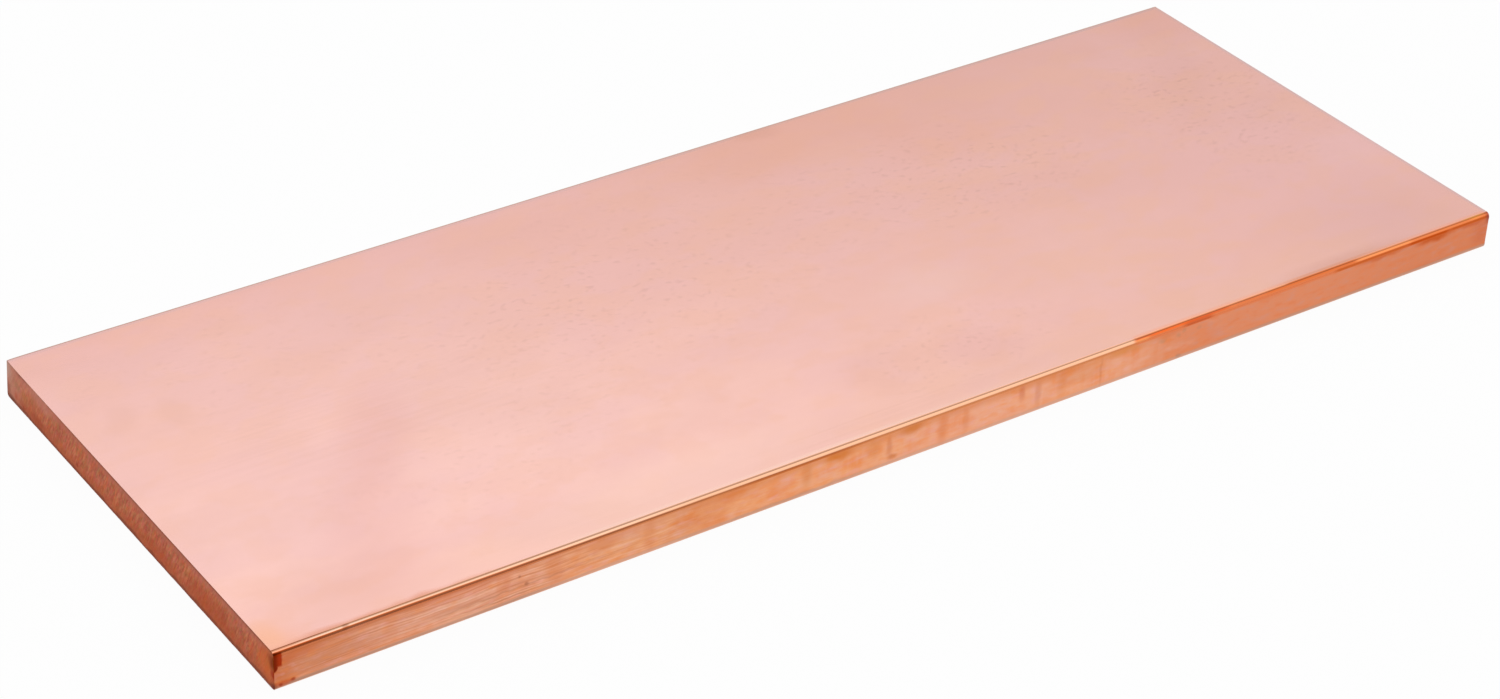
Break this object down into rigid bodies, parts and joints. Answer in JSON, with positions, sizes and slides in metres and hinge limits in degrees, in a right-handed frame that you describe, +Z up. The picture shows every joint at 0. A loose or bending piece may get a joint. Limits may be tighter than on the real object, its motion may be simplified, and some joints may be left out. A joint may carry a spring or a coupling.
{
  "type": "copper strip",
  "caption": "Cut length of thick flat copper strip, with rounded long edges and ends sawn square.",
  "frame": {"origin": "middle of the underside, on the surface that the strip lies on", "axes": "+X along the strip's length, +Y across its width, away from the long side that faces the viewer, +Z up through its thickness"},
  "size_m": [0.205, 0.08, 0.006],
  "materials": {
    "copper": "bare copper: bright rolled faces, satin drawn edges, matt sawn ends"
  },
  "bodies": {
    "root": {"strip": "copper"}
  },
  "joints": []
}
